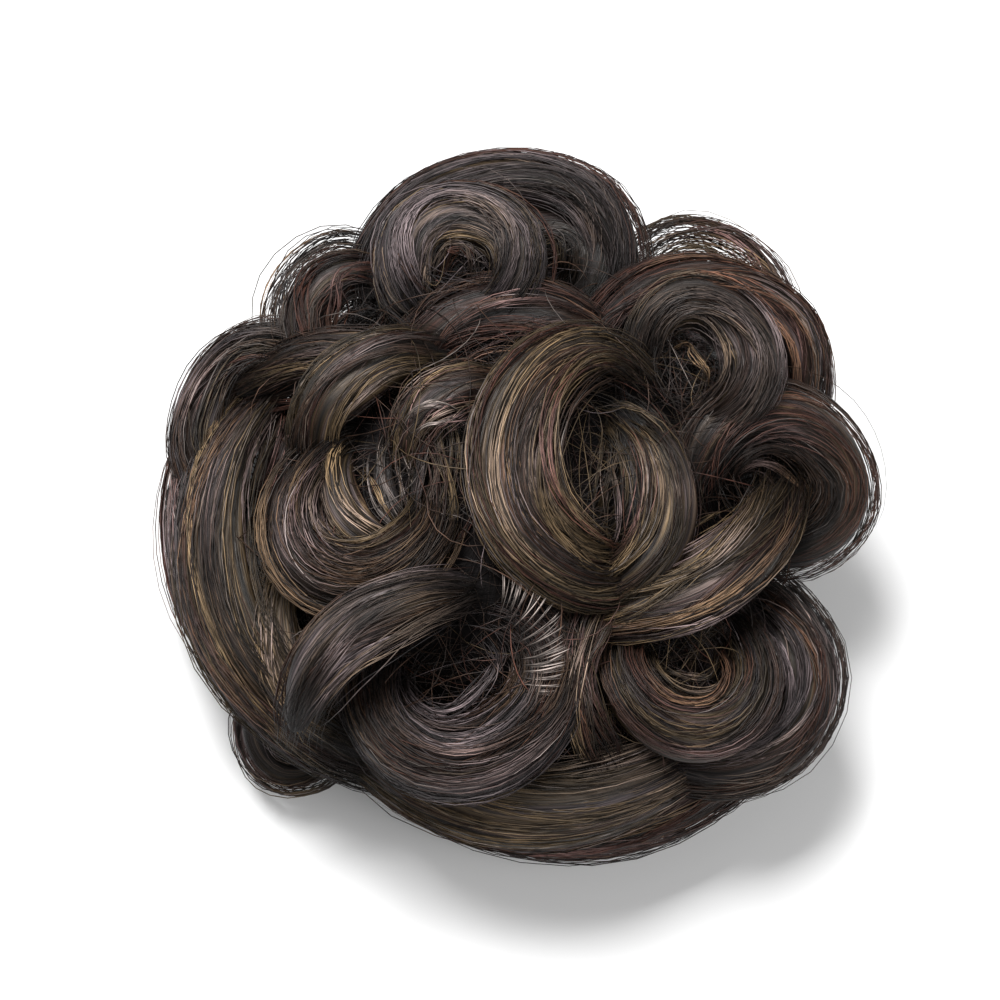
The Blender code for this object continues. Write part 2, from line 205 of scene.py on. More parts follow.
TIP_SHARE = 0.5  # size of a lock's ends beside its middle
SINK_SHARE = 0.32  # share of the length over which an end dips
OVERSHOOT_FALL = 30.0  # how steeply a hair that is longer than its lock goes on down
LOWEST = 0.3 * MM  # no hair lies lower over the floor

# How the hairs of a lock lie, as shares of its tresses or of its hairs
HAIRS_IN_TRESS = 14
SHOWN_TRESSES = 0.88  # lie on the side that shows
WINDING_TRESSES = 0.40  # wind over to the other side
INWARD_TRESSES = 0.22  # lie well in, towards the eye
SHORT_TRESSES = 0.20  # stop short, at each of the lock's ends
STRAY_HAIRS = 0.13  # leave their tress
STANDING_HAIRS = 0.20  # stand off the lock

# How far out the hairs of a lock may lie, beside its half width: a full one's, and a looser one's
FULL_BODY = 0.82
FURTHEST_FULL = 1.06
FURTHEST_LOOSE = 1.25

# A lock that turns further than this is a ring, with hairs in its eye and across it
RING_SWEEP = 160
EYE_HAIRS = 30
CROSSING_HAIRS = 24

# A tress keeps to its lock's own colour in a share of OWN_TONE, and else has one of the first five, in the
# shares of OTHER_TONES. A few hairs are dark or pale, and most of the tresses have a cool painted highlight.
TONES = ("brown", "olive", "red", "mauve", "ash", "pale")
OTHER_TONES = (0.40, 0.16, 0.22, 0.10, 0.12)
OWN_TONE = 0.55
OWN_PALE_TONE = 0.95
DARK_HAIRS = 0.12
PALE_HAIRS = 0.028
COOL_SHINE = 0.72

# Hairs over the core's dome: how many, between which shares of its height, the radii and the lengths of
# their arcs in millimetres, how light they are, and how far they lie off it and rise from there, as shares
# of its size. The last ones are flyaway hairs.
DOME_HAIRS = (
    (460, (0.30, 1.00), (10, 34), (28, 62), 0.50, -0.004, 0.096),
    (300, (-0.30, 0.45), (12, 40), (24, 52), 0.40, -0.004, 0.096),
    (240, (0.35, 1.00), (7, 22), (14, 38), 1.00, 0.112, 0.200),
)
HOLLOW_HAIRS = 170

# The core, in millimetres: its dome, and the hollow for the wearer's own knot
DOME_RADIUS = 50.0
DOME_FOOT = 24.0
DOME_TOP = 53.0
HOLLOW_RADIUS = 25.0
HOLLOW_FOOT = 11.0
HOLLOW_WALL_TOP = 23.0
HOLLOW_TOP = 38.0
CLEARANCE = 0.3

# The band and the weft ring, in millimetres
BAND_RADIUS = 27.0
BAND_THICKNESS = 5.0
BAND_HEIGHT = 4.6
RIB_DEPTH = 0.22
WEFT_OUTER = 44.0
WEFT_INNER = 28.0
WEFT_ROUNDNESS = 0.32  # the power in the section's superellipse: 1 is an ellipse, 0 a rectangle
ROOT_ROW = 2.3  # one row of roots to the next
ROOT_RIDGE = 0.35
STITCH_LENGTH = 2.9
STITCH_WIDTH = 0.44

# Rows of stitches: radius, height, and how far they lean. The rows at no height lie under the ring.
STITCH_ROWS = (
    (44.0, 3.2, 0.9),
    (44.0, 6.6, -0.9),
    (41.8, 0.0, 1.0),
    (38.3, 0.0, -1.0),
    (34.9, 0.0, 1.0),
    (31.4, 0.0, -1.0),
)

# The studio, in metres. The photograph looks down on the crown at 75 degrees, and VIEW_WIDTH fills its
# width at the bun.
FLOOR_SIZE = 3.0
FLOOR_GAP = 0.4 * MM
LIGHTS = (("key", (-0.25, 0.50, 1.05), 0.50), ("fill", (0.55, -0.45, 0.95), 0.70))
LIT_PLACE = (0.0, 0.0, 0.03)
VIEW_ELEVATION = 75.0
VIEW_DISTANCE = 0.6
VIEW_WIDTH = 0.2043
VIEW_CENTRE = (-0.0033, 0.0012, 0.038)
SENSOR_WIDTH = 36.0


class HairpieceHair(bpy.types.PropertyGroup):
    """The hair: how fine and how much, and the colours that are mixed in it."""

    thickness: FloatProperty(
        name="Hair thickness", description="Width of one hair as it is drawn", default=0.21 * MM,
        min=0.05 * MM, max=1.0 * MM, unit="LENGTH", subtype="DISTANCE", precision=5,
    )
    amount: FloatProperty(
        name="Amount", description="Number of hairs, beside the number in the rows", default=1.0,
        min=0.1, max=2.0, subtype="FACTOR",
    )
    mess: FloatProperty(
        name="Mess", description="How far the hairs stray from their locks", default=1.0, min=0.0, max=3.0,
        subtype="FACTOR",
    )
    seed: IntProperty(name="Seed", description="Another number gives other hairs", default=3, min=0)
    brown: FloatVectorProperty(
        name="Brown", description="The dark brown that most hairs have", default=(0.043, 0.0235, 0.0155),
        size=3, min=0.0, max=1.0, subtype="COLOR",
    )
    # Olive is a tone of the locks and also the colour of the warm painted highlights
    olive: FloatVectorProperty(
        name="Olive", description="The golden olive brown of the lighter locks",
        default=(0.104, 0.070, 0.038), size=3, min=0.0, max=1.0, subtype="COLOR",
    )
    red: FloatVectorProperty(
        name="Red", description="The reddish brown of the sweeps", default=(0.072, 0.030, 0.021),
        size=3, min=0.0, max=1.0, subtype="COLOR",
    )
    # Mauve is a tone of the locks and also the colour of most painted highlights
    mauve: FloatVectorProperty(
        name="Mauve", description="The greyish mauve of the hairs that shine",
        default=(0.101, 0.079, 0.081), size=3, min=0.0, max=1.0, subtype="COLOR",
    )
    ash: FloatVectorProperty(
        name="Ash", description="The cool brown of the lobes at the back", default=(0.052, 0.038, 0.033),
        size=3, min=0.0, max=1.0, subtype="COLOR",
    )
    # Pale is the colour of a few pale hairs, and of the pale comb and tufts, which are painted highlights
    pale: FloatVectorProperty(
        name="Pale", description="The few hairs that are almost white in the light",
        default=(0.36, 0.30, 0.27), size=3, min=0.0, max=1.0, subtype="COLOR",
    )
    # Under is near black: painted shade in the depth of the bun, where the core shows between the locks
    under: FloatVectorProperty(
        name="Under", description="The hair in the depth of the bun", default=(0.0035, 0.0028, 0.0028),
        size=3, min=0.0, max=1.0, subtype="COLOR",
    )


class HairpieceBase(bpy.types.PropertyGroup):
    """The sewn base: the weft ring with its stitches, and the elastic band."""

    thread: FloatVectorProperty(
        name="Thread", description="The stitching thread", default=(0.050, 0.040, 0.035),
        size=3, min=0.0, max=1.0, subtype="COLOR",
    )
    cloth: FloatVectorProperty(
        name="Weft", description="The strip that the hair is sewn on", default=(0.010, 0.008, 0.008),
        size=3, min=0.0, max=1.0, subtype="COLOR",
    )
    elastic: FloatVectorProperty(
        name="Elastic", description="The woven elastic", default=(0.013, 0.012, 0.013),
        size=3, min=0.0, max=1.0, subtype="COLOR",
    )
    stitches: IntProperty(
        name="Stitches", description="Stitches in each row round the weft ring", default=72,
        min=12, max=200,
    )
    ribs: IntProperty(name="Ribs", description="Ribs round the elastic band", default=110, min=12, max=300)


class HairpieceStage(bpy.types.PropertyGroup):
    """The plain studio."""

    key: FloatProperty(
        name="Key light", description="Power of the large soft light above", default=22.0,
        min=0.0, unit="POWER",
    )
    fill: FloatProperty(
        name="Fill light", description="Power of the soft light at the front", default=5.0,
        min=0.0, unit="POWER",
    )
    sky: FloatProperty(
        name="Surroundings", description="Strength of the even light from all sides", default=0.29,
        min=0.0,
    )
    floor: FloatVectorProperty(
        name="Floor", description="Colour of the floor", default=(0.86, 0.86, 0.86),
        size=3, min=0.0, max=1.0, subtype="COLOR",
    )


# Shapes


def ease(share):
    """0 to 1, with a level start and end: 3s^2 - 2s^3."""
    share = np.clip(share, 0.0, 1.0)
    return share * share * (3.0 - 2.0 * share)


def unit(vectors):
    """The vectors, each over its own length."""
    return vectors / np.maximum(np.linalg.norm(vectors, axis=-1, keepdims=True), 1e-12)


def turn_of(row):
    """The rotation that leans a lock's own plane over, as a 3 by 3 array."""
    facing = math.radians(row.facing)
    axis = Vector((-math.sin(facing), math.cos(facing), 0.0))
    return np.array(Matrix.Rotation(math.radians(row.tilt), 3, axis))


def placed(row, local):
    """Carries points of a lock's own plane to the bun."""
    return local @ turn_of(row).T + np.array([row.x, row.y, row.z]) * MM + BUN_MIDDLE


def arc_points(row, share):
    """Points of a lock's centre line: an ellipse's arc, a little uneven by 0.04 sin(2t + p) +
    0.025 sin(3t + 2p), whose ends dip below its plane, and go on down where a hair is longer than it."""
    angle = np.radians(row.start + row.sweep * share)
    phase = row.x + 0.7 * row.y
    uneven = 0.04 * np.sin(2 * angle + phase) + 0.025 * np.sin(3 * angle + 2 * phase)
    size = (1.0 + row.grow * (share - 0.5) + uneven * min(1.0, 22.0 / row.rx)) * MM
    dip = row.dip_start * ease(1 - share / SINK_SHARE) + row.dip_end * ease(1 - (1 - share) / SINK_SHARE)
    dip = dip + OVERSHOOT_FALL * (np.maximum(-share, 0.0) + np.maximum(share - 1.0, 0.0))
    return np.stack([row.rx * size * np.cos(angle), row.ry * size * np.sin(angle), -dip * MM], axis=-1)


def fullness(share):
    """Size of the section along a lock: full in the middle, TIP_SHARE at both ends."""
    return TIP_SHARE + (1 - TIP_SHARE) * np.sin(math.pi * np.clip(share, 0.0, 1.0)) ** 0.6


def carried(row, share, across, up):
    """Carries section places along a lock's arc: the centre line, plus "across" half widths along the
    section's side and "up" half depths along its top. All three arrays have one shape."""
    path = arc_points(row, share)
    along = unit(arc_points(row, share + 0.01) - arc_points(row, share - 0.01))
    angle = np.radians(row.start + row.sweep * share)
    outward = np.stack([np.cos(angle), np.sin(angle), np.zeros_like(angle)], axis=-1)
    outward = unit(outward - along * np.sum(outward * along, axis=-1, keepdims=True))
    upward = np.cross(outward, along) * math.copysign(1.0, row.sweep)
    roll = math.radians(row.roll)
    side = outward * math.cos(roll) - upward * math.sin(roll)
    top = upward * math.cos(roll) + outward * math.sin(roll)
    full = fullness(share)[..., None] * MM
    aside = side * (row.width / 2 * across[..., None] * full)
    above = top * (row.depth / 2 * up[..., None] * full)
    points = placed(row, path + aside + above)
    points[..., 2] = np.maximum(points[..., 2], LOWEST)
    return points


# Meshes. A part is its vertices, its quads' and triangles' corners, a colour and a grain for each vertex,
# and the number of its material. The grain is a place in a space of its own, in millimetres, where the
# material's streaks lie along z.
Part = namedtuple("Part", "vertices quads triangles colour grain finish")


def faced_outwards(part):
    """Turns the faces round if the closed skins' volume, the sum of a.(b x c)/6, is below zero."""
    corner = part.vertices[part.quads]
    total = np.sum(corner[:, 0] * np.cross(corner[:, 1], corner[:, 2]))
    total += np.sum(corner[:, 0] * np.cross(corner[:, 2], corner[:, 3]))
    corner = part.vertices[part.triangles]
    total += np.sum(corner[:, 0] * np.cross(corner[:, 1], corner[:, 2]))
    if total < 0:
        return part._replace(quads=part.quads[:, ::-1], triangles=part.triangles[:, ::-1])
    return part


def grid_quads(steps, sides, closed=False):
    """Corners of the quads of a grid [step, side] that joins itself round its sides and, where it is
    closed, also from its last step to its first."""
    step, side = np.meshgrid(np.arange(steps if closed else steps - 1), np.arange(sides), indexing="ij")
    here, ahead = step * sides, (step + 1) % steps * sides
    after = (side + 1) % sides
    return np.stack([here + side, ahead + side, ahead + after, here + after], axis=-1).reshape(-1, 4)


def tube_faces(rings, sides):
    """Corners of a closed tube's quads, and of the triangles that fan out from its two ends. The vertices
    are those of the rings, in order, and then the ends."""
    side, last = np.arange(sides), (rings - 1) * sides
    after = (side + 1) % sides
    root = np.stack([np.full(sides, rings * sides), side, after], axis=-1)
    tip = np.stack([np.full(sides, rings * sides + 1), last + after, last + side], axis=-1)
    return grid_quads(rings, sides), np.concatenate([root, tip])


def hair_part(points, radius, colour, grain, finish=0):
    """Hairs as three-sided tubes that end in points: path + radius (u cos t + v sin t), where u and v are
    square to the path. points is [hair, step, xyz], radius [hair, step], colour and grain [hair, step, 3]."""
    hairs, steps = points.shape[:2]
    inner = steps - 2
    along = unit(np.gradient(points, axis=1))
    chord = unit(points[:, -1:] - points[:, :1] + 1e-9)
    bow = unit(np.cross(along, chord).mean(axis=1, keepdims=True) + 1e-9)
    first = unit(np.cross(bow, along))
    second = np.cross(along, first)
    turn = (np.arange(3) * 2 * math.pi / 3)[:, None]
    off = first[:, 1:-1, None] * np.cos(turn) + second[:, 1:-1, None] * np.sin(turn)
    rings = points[:, 1:-1, None] + radius[:, 1:-1, None, None] * off
    vertices = np.concatenate([rings.reshape(hairs, -1, 3), points[:, :1], points[:, -1:]], axis=1)

    def at_vertices(values):
        each = [np.repeat(values[:, 1:-1], 3, axis=1), values[:, :1], values[:, -1:]]
        return np.concatenate(each, axis=1).reshape(-1, 3)

    quads, triangles = tube_faces(inner, 3)
    offset = (np.arange(hairs) * vertices.shape[1])[:, None, None]
    return faced_outwards(
        Part(
            vertices.reshape(-1, 3),
            (quads + offset).reshape(-1, 4),
            (triangles + offset).reshape(-1, 3),
            at_vertices(colour),
            at_vertices(grain),
            finish,
        )
    )


def body_part(points, ends, colour, grain):
    """A closed tube from a grid [ring, side, xyz], with a vertex at each end."""

    def with_ends(values):
        return np.concatenate([values.reshape(-1, 3), values[0, :1], values[-1, :1]])

    vertices = np.concatenate([points.reshape(-1, 3), ends])
    faces = tube_faces(*points.shape[:2])
    return faced_outwards(Part(vertices, *faces, with_ends(colour), with_ends(grain), 0))


def ring_part(points, colour):
    """A closed ring from a grid [step, side, xyz] that joins itself both ways."""
    quads = grid_quads(*points.shape[:2], closed=True)
    vertices = points.reshape(-1, 3)
    no_triangles = np.zeros((0, 3), dtype=int)
    return faced_outwards(
        Part(vertices, quads, no_triangles, np.tile(colour, (len(vertices), 1)), vertices / MM, 0)
    )


def in_one_row(arrays, kind):
    """All the arrays' numbers, one after the other."""
    return np.concatenate(arrays).astype(kind).ravel()


def joined_mesh(name, parts):
    """One mesh of all the parts, with the attributes hair_tint and hair_grain at its vertices."""
    starts = np.cumsum([0] + [len(part.vertices) for part in parts[:-1]])
    quads = np.concatenate([part.quads + start for part, start in zip(parts, starts)])
    triangles = np.concatenate([part.triangles + start for part, start in zip(parts, starts)])
    finish = [np.full(len(part.quads), part.finish) for part in parts]
    finish += [np.full(len(part.triangles), part.finish) for part in parts]
    loops = np.concatenate([quads.ravel(), triangles.ravel()])
    loop_starts = np.concatenate([np.arange(len(quads)) * 4, quads.size + np.arange(len(triangles)) * 3])
    mesh = bpy.data.meshes.new(name)
    mesh.vertices.add(starts[-1] + len(parts[-1].vertices))
    mesh.loops.add(len(loops))
    mesh.polygons.add(len(loop_starts))
    mesh.vertices.foreach_set("co", in_one_row([part.vertices for part in parts], np.float32))
    mesh.loops.foreach_set("vertex_index", loops.astype(np.int32))
    mesh.polygons.foreach_set("loop_start", loop_starts.astype(np.int32))
    mesh.polygons.foreach_set("material_index", in_one_row(finish, np.int32))
    mesh.update(calc_edges=True)
    tint = mesh.color_attributes.new("hair_tint", "FLOAT_COLOR", "POINT")
    opaque = [np.pad(part.colour, ((0, 0), (0, 1)), constant_values=1.0) for part in parts]
    tint.data.foreach_set("color", in_one_row(opaque, np.float32))
    grain = mesh.attributes.new("hair_grain", "FLOAT_VECTOR", "POINT")
    grain.data.foreach_set("vector", in_one_row([part.grain for part in parts], np.float32))
    mesh.shade_smooth()
    return mesh


# Hair


def seeded(name, look):
    """Random numbers of its own for each lock."""
    places = sum((index + 1) * ord(letter) for index, letter in enumerate(name))
    return np.random.default_rng(look.seed + places)


def tress_colours(rng, look, tone, count):
    """A colour for each tress: most keep to the lock's leading colour."""
    colours = np.array([tuple(getattr(look, tone)) for tone in TONES])
    own = OWN_PALE_TONE if tone == "pale" else OWN_TONE
    others = rng.choice(len(OTHER_TONES), count, p=OTHER_TONES)
    pick = np.where(rng.random(count) < own, TONES.index(tone), others)
    return colours[pick] * rng.uniform(0.40, 1.60, (count, 1))


def painted_sheen_of(rng, look, count):
    """For each tress, its painted highlight: where it lies beside its lock's, how long and strong it is, and
    its two colours: one where the lock is painted to shine, mostly cool, and a warm one further on."""
    # the painted highlight's colours: mostly mauve, else olive, and a second, warm olive one
    cool, warm = np.array(look.mauve), np.array(look.olive)
    sheen = np.where(rng.random((count, 1)) < COOL_SHINE, cool * 1.55, warm * 1.7)
    return (
        rng.normal(0, 0.05, (count, 1)),
        rng.uniform(0.05, 0.17, (count, 1)),
        rng.random((count, 1)) ** 1.6 * 1.15,
        sheen[:, None, :],
        np.tile(warm * 1.25, (count, 1, 1)),
    )


def tinted(rng, look, base, share, light, shine=None, painted_sheen=None):
    """Colours along hairs [hair, step, rgb]: each hair has its own lightness, a few are dark or pale, and
    each one darkens towards its ends as painted shade, where it goes under its neighbours. The painted
    highlight adds its colour by exp(-((s - shine) / length)^2), and a weaker one lies a third of the way on."""
    hairs = len(base)
    colour = base * rng.uniform(0.78, 1.22, (hairs, 1))
    rare = rng.random((hairs, 1))
    colour = np.where(rare < DARK_HAIRS, colour * 0.35, colour)
    pale = np.array(look.pale) * rng.uniform(0.25, 0.55, (hairs, 1))
    colour = np.where(rare > 1 - PALE_HAIRS, pale, colour)
    beat = rng.uniform(0.6, 1.8, (hairs, 1))
    wave = 1 + 0.22 * np.sin(2 * math.pi * (share * beat + rng.random((hairs, 1))))
    # painted shade: each hair darkens to 0.08 at its ends, where it goes under its neighbours
    ends = 0.08 + 0.92 * np.sin(math.pi * np.clip(share * 0.9 + 0.05, 0, 1))[..., None] ** 0.9
    colour = colour[:, None, :] * wave[..., None]
    # painted highlight: lighter bands along the hair, and 0.68 of the colour away from them
    if painted_sheen is not None:
        off, length, strength, sheen, warmth = painted_sheen
        here = shine + off + rng.normal(0, 0.012, (hairs, 1))
        other = here + np.where(here < 0.5, 0.34, -0.34)
        lit = (np.exp(-(((share - here) / length) ** 2)) * strength)[..., None]
        warm = (0.65 * np.exp(-(((share - other) / length) ** 2)) * strength)[..., None]
        bright = rare[..., None] > DARK_HAIRS
        colour = colour * (0.68 + 0.9 * (lit + warm)) + (1.15 * sheen * lit + warmth * warm) * bright
    return colour * ends * light


def tapered(share, width, rng):
    """Radius along hairs: even in the middle, and drawn out at both ends."""
    taper = np.sin(math.pi * np.clip(share * 0.94 + 0.03, 0, 1)) ** 0.35
    return width / 2 * rng.uniform(0.70, 1.30, (len(share), 1)) * taper


def grains(share, length, rng):
    """A line of its own in the grain's space for each hair."""
    place = rng.uniform(0, 90, (2, len(share), 1)) * np.ones_like(share)
    return np.stack([*place, share * length / MM * 0.05], axis=-1)


def lock_length(row):
    """The length of a lock's arc, taken as a circle's."""
    return math.radians(abs(row.sweep)) * (row.rx + row.ry) / 2 * MM


def lock_hairs(row, rng, look):
    """The hairs of a lock. Each keeps a place in the oval section, (r cos a, r sin a), that drifts on its
    way with its tress, and it starts and ends where it likes, spread out beside its neighbours. Some
    tresses wind over to the other side."""
    hairs = max(8, int(row.hairs * look.amount))
    steps = int(np.clip(round(abs(row.sweep) / 14 + 2), 11, 18)) + 2
    tresses = max(8, hairs // HAIRS_IN_TRESS)
    along = np.linspace(0.0, 1.0, steps)[None, :]
    start = rng.uniform(-0.10, 0.12, (hairs, 1))
    end = rng.uniform(0.88, 1.10, (hairs, 1))

    # Tresses lie mostly on the side that shows: the top and the two edges
    shown = rng.random(tresses) < SHOWN_TRESSES
    turn = np.where(shown, rng.uniform(-30, 210, tresses), rng.uniform(0, 360, tresses))
    reach = rng.uniform(0.88, 1.04, tresses)
    wound = rng.random(tresses) < WINDING_TRESSES
    winding = np.where(wound, rng.uniform(-130, 130, tresses), rng.normal(0, 16, tresses))
    sway = rng.uniform(4, 18, tresses)
    phase = rng.random((3, tresses))
    beat = rng.uniform(0.4, 1.3, tresses)
    # Shifts go further in, towards the eye, than out
    shift = rng.normal(0, 0.13, (4, tresses))
    inward = rng.random(tresses) < INWARD_TRESSES
    shift[0] = np.where(inward, -rng.uniform(0.2, 0.75, tresses), np.minimum(shift[0], 0.12))
    short = rng.random((2, tresses)) < SHORT_TRESSES
    early = np.where(short, rng.uniform(0.05, 0.30, (2, tresses)), 0.0)
    close = rng.uniform(3.0, 10.0, tresses)
    tress = rng.integers(0, tresses, hairs)

    def of_tress(values):
        return values[tress][:, None]

    start = start + of_tress(early[0])
    share = start + (end - of_tress(early[1]) - start) * along

    twist = rng.uniform(-35, 35) + rng.normal(0, 7, (hairs, 1))
    wander = np.abs(np.sin(math.pi * (along * rng.uniform(0.6, 1.4, (hairs, 1)) + rng.random((hairs, 1)))))
    spread = rng.normal(0, 1.0, (hairs, 1)) * of_tress(close) * (0.40 + 0.9 * wander)
    stray = (rng.random((hairs, 1)) < STRAY_HAIRS) * look.mess
    angle = np.radians(
        of_tress(turn)
        + of_tress(sway) * np.sin(2 * math.pi * (of_tress(beat) * share + of_tress(phase[0])))
        + (twist + of_tress(winding)) * (share - 0.5)
        + spread
        + stray * rng.normal(0, 50, (hairs, 1)) * (share - rng.random((hairs, 1)))
    )
    off = rng.normal(0, 0.025, (hairs, 1))
    standing = np.abs(rng.normal(0, row.loose * look.mess, (hairs, 1)))
    standing = standing * (rng.random((hairs, 1)) < STANDING_HAIRS)
    radius = (
        of_tress(reach)
        + 0.04 * np.sin(2 * math.pi * (1.3 * of_tress(beat) * share + of_tress(phase[1])))
        + off
        + standing * np.sin(math.pi * np.clip(share, 0, 1)) ** 2
        + stray * np.abs(rng.normal(0, 0.13, (hairs, 1))) * np.sin(math.pi * along)
        + 0.02 * np.sin(2 * math.pi * (rng.uniform(0.8, 2.0, (hairs, 1)) * share + rng.random((hairs, 1))))
    )
    # Each hair fans out and lifts its own way at its two ends, besides the shift of its tress
    drift = 2 * share - 1
    fan = np.where(share < 0.5, *rng.normal(0, 0.30, (2, hairs, 1))) * np.abs(drift) ** 3
    lift = np.where(share < 0.5, *rng.normal(0.05, 0.14, (2, hairs, 1))) * np.abs(drift) ** 3
    fan = fan + of_tress(shift[0]) * np.cos(drift * 1.2) + of_tress(shift[1]) * drift * 1.2
    lift = lift + (of_tress(np.abs(shift[2])) + of_tress(shift[3]) * drift) * 0.6
    furthest = FURTHEST_FULL if row.fill > FULL_BODY else FURTHEST_LOOSE
    furthest = furthest + np.abs(rng.normal(0, 0.03, (hairs, 1)))
    across = np.minimum(radius * np.cos(angle) + fan, furthest)
    up = np.minimum(radius * np.sin(angle) + lift, furthest)
    points = carried(row, share, across, up)
    base = tress_colours(rng, look, row.tone, tresses)[tress]
    painted_sheen = [part[tress] for part in painted_sheen_of(rng, look, tresses)]
    return hair_part(
        points,
        tapered(np.broadcast_to(along, share.shape), look.thickness, rng),
        tinted(rng, look, base, share, row.light, row.shine, painted_sheen),
        grains(share, lock_length(row), rng),
    )


def eye_hairs(row, rng, look, count):
    """Hairs inside a ring of hair: arcs of smaller ellipses, f rx cos t and f ry sin t, which lie lower the
    nearer they are to the middle, each in a plane that leans its own way."""
    steps = 13
    inner = 1 - row.width / 2 / ((row.rx + row.ry) / 2)
    size = rng.uniform(0.12, 1.0, (count, 1)) * (inner + 0.30)
    along = np.linspace(0, 1, steps)[None, :]
    sweep = math.copysign(1.0, row.sweep) * rng.uniform(120, 290, (count, 1))
    angle = np.radians(rng.uniform(0, 360, (count, 1)) + sweep * along)
    size = size * (1 + rng.uniform(-0.25, 0.25, (count, 1)) * along)
    lean = rng.normal(0, 1.6, (count, 1)) * np.sin(angle + rng.uniform(0, 6.3, (count, 1)))
    height = -1.0 - (1 - size) * 4.5 + rng.uniform(-1.5, 1.0, (count, 1)) + lean
    off = rng.normal(0, 0.7, (2, count, 1))
    x = row.rx * size * np.cos(angle) + off[0]
    y = row.ry * size * np.sin(angle) + off[1]
    base = tress_colours(rng, look, row.tone, count)
    share = np.broadcast_to(along, (count, steps))
    return hair_part(
        placed(row, np.stack([x, y, height], axis=-1) * MM),
        tapered(share, look.thickness * 0.85, rng),
        # painted shade in the eye: its hairs have 0.32 of the lock's light
        tinted(rng, look, base, share, row.light * 0.32),
        grains(share, 0.04, rng),
    )


def crossing_hairs(row, rng, look, count):
    """Fine hairs that cross a ring's eye, from side to side: a + (b - a) s, bowed by sin(pi s)."""
    steps = 9
    along = np.linspace(0, 1, steps)[None, :, None]
    first = rng.uniform(0, 360, (count, 1))
    angle = np.radians(np.concatenate([first, first + rng.uniform(70, 290, (count, 1))], axis=1))
    reach = rng.uniform(0.55, 1.0, (count, 2))
    height = rng.uniform(-4.5, 1.5, (count, 2))
    ends = np.stack([row.rx * reach * np.cos(angle), row.ry * reach * np.sin(angle), height], axis=-1)
    bow = rng.normal(0, 2.5, (count, 1, 3)) * np.array([1, 1, 0.5]) * np.sin(math.pi * along)
    local = (ends[:, :1] + (ends[:, 1:] - ends[:, :1]) * along + bow) * MM
    base = tress_colours(rng, look, row.tone, count)
    share = np.broadcast_to(along[..., 0], (count, steps))
    return hair_part(
        placed(row, local),
        tapered(share, look.thickness * 0.7, rng),
        tinted(rng, look, base, share, 0.85),
        grains(share, 0.02, rng),
    )


def comb_hairs(row, rng, look, count, teeth=17):
    """Short pale hairs in teeth across a lock, a painted highlight, from its outer edge over its inner one:
    across = 1 - 2.4 s, while the place along the lock goes on a little, so that each tooth leans."""
    steps = 9
    along = np.linspace(0, 1, steps)[None, :]
    tooth = rng.integers(0, teeth, (count, 1))
    place = (tooth + 0.5 + rng.normal(0, 0.20, (count, 1)) * (1.2 - along)) / teeth
    reach = rng.uniform(1.5, 2.4, (count, 1))
    across = 1.05 + rng.normal(0, 0.08, (count, 1)) - reach * along
    up = 1.0 + 0.45 * np.sin(math.pi * along * 0.8) - 1.1 * along**2 + rng.normal(0, 0.12, (count, 1))
    points = carried(row, place + 0.10 * along, across, up)
    base = np.array(look.pale) * rng.uniform(0.45, 1.3, (count, 1)) * row.light
    # the painted highlight fades towards both ends of each hair
    shade = 0.25 + 0.75 * np.sin(math.pi * np.clip(1.15 * along + 0.1, 0, 1))
    share = np.broadcast_to(along, (count, steps))
    return hair_part(
        points,
        tapered(share, look.thickness, rng),
        base[:, None, :] * shade[..., None],
        grains(share, 0.01, rng),
    )


def lock_body(row, rng, look, sides=36, rings=34):
    """The body that fills a lock: an oval section, fill (1 + 0.04 sin 7b + 0.03 sin(13b - 4s)) with b = a +
    1.2 s, along the whole arc and drawn to a point at each end, in the colours of its tresses with their
    painted highlight, darkened to 0.52 of the lock's light as painted shade under the hairs."""
    share = np.linspace(0.0, 1.0, rings)[:, None]
    turn = np.linspace(0, 2 * math.pi, sides, endpoint=False)[None, :]
    phase = rng.uniform(0, 6.3, 2)
    close = np.sin(math.pi * np.clip(share * 0.98 + 0.01, 0, 1)) ** 0.25 * row.fill
    wound = turn + 1.2 * share
    ripple = 0.04 * np.sin(7 * wound + phase[0]) + 0.03 * np.sin(13 * wound + phase[1] - 4 * share)
    close = close * (1 + ripple)
    share = share + 0 * turn
    points = carried(row, share, close * np.cos(turn), close * np.sin(turn))
    ends = carried(row, np.array([-0.01, 1.01]), np.zeros(2), np.zeros(2))
    base = tress_colours(rng, look, row.tone, sides)
    painted_sheen = painted_sheen_of(rng, look, sides)
    # painted shade: the body under the hairs has 0.52 of the lock's light
    colour = np.swapaxes(tinted(rng, look, base, share.T, row.light * 0.52, row.shine, painted_sheen), 0, 1)
    place = [row.width / 2 * np.cos(turn) + 0 * share, row.depth / 2 * np.sin(turn) + 0 * share]
    grain = np.stack([*place, share * lock_length(row) / MM * 0.03], axis=-1)
    return body_part(points, ends, colour, grain)


